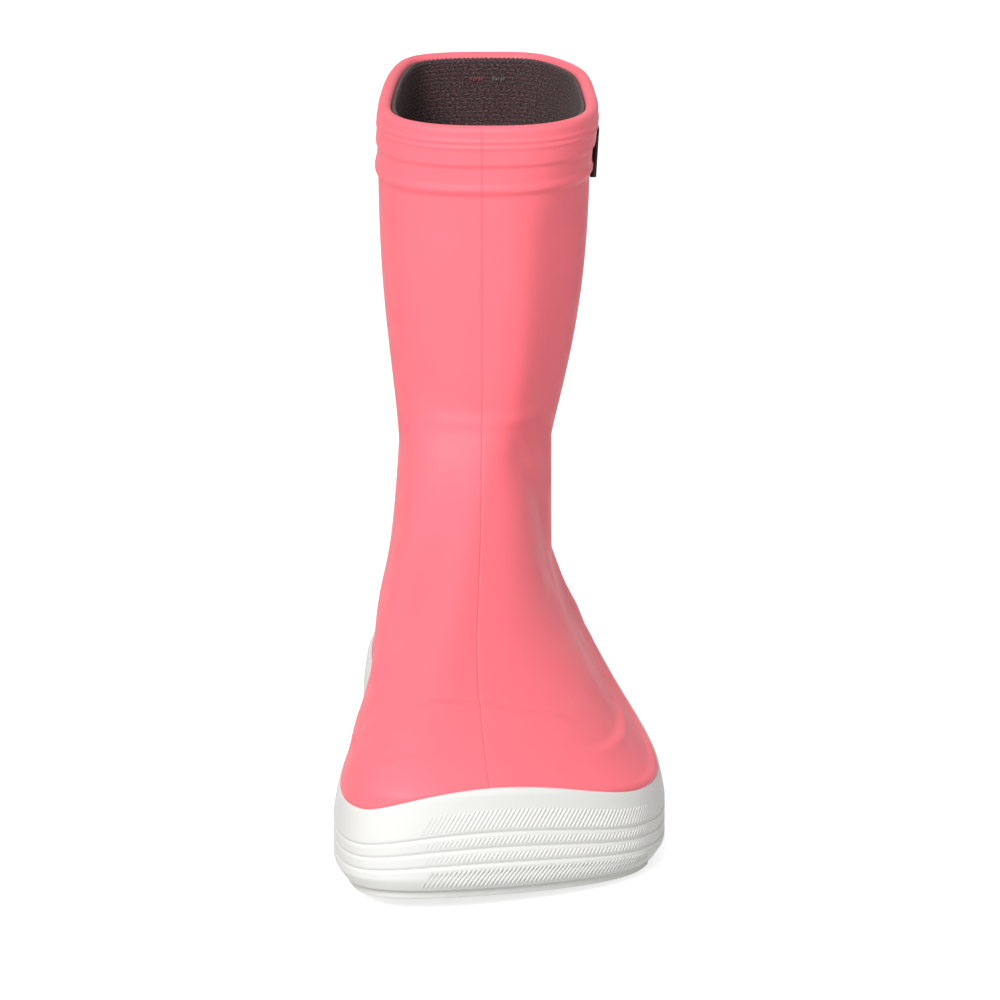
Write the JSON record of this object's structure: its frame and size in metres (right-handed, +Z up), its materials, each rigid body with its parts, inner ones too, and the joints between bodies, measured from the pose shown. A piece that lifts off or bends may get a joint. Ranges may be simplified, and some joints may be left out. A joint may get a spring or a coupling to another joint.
{
  "type": "child's rubber boot",
  "caption": "Ankle-height pull-on rubber boot for a child's left foot, with a ribbed collar, knitted lining, loose footbed and a chunky cupped sole.",
  "frame": {"origin": "middle of the sole's outline on the ground, under the tread", "axes": "+Z up along the leg, -Y towards the toe, +X towards the outer side of the left foot"},
  "size_m": [0.092, 0.2098, 0.195],
  "materials": {
    "upper_rubber": "satin moulded rubber",
    "lining_knit": "marled knit",
    "binding_thread": "overlocked thread",
    "tack_thread": "thread",
    "stiffener": "stiffened canvas",
    "board": "cellulose board",
    "footbed_foam": "open foam",
    "footbed_cloth": "brushed cloth",
    "sole_foam": "foamed rubber",
    "sole_rubber": "matt moulded rubber",
    "tread_rubber": "matt moulded rubber",
    "label_rubber": "matt moulded rubber"
  },
  "bodies": {
    "root": {"upper_shell": "upper_rubber", "leg_lining": "lining_knit", "foot_lining": "lining_knit", "lining_binding": "binding_thread", "lining_seam": "binding_thread", "lining_tacks": "tack_thread", "toe_puff": "stiffener", "heel_counter": "stiffener", "insole_board": "board", "footbed_foam": "footbed_foam", "footbed_cover": "footbed_cloth", "sole_core": "sole_foam", "sole_sidewall": "sole_rubber", "outsole_tread": "tread_rubber", "side_label": "label_rubber"}
  },
  "joints": []
}
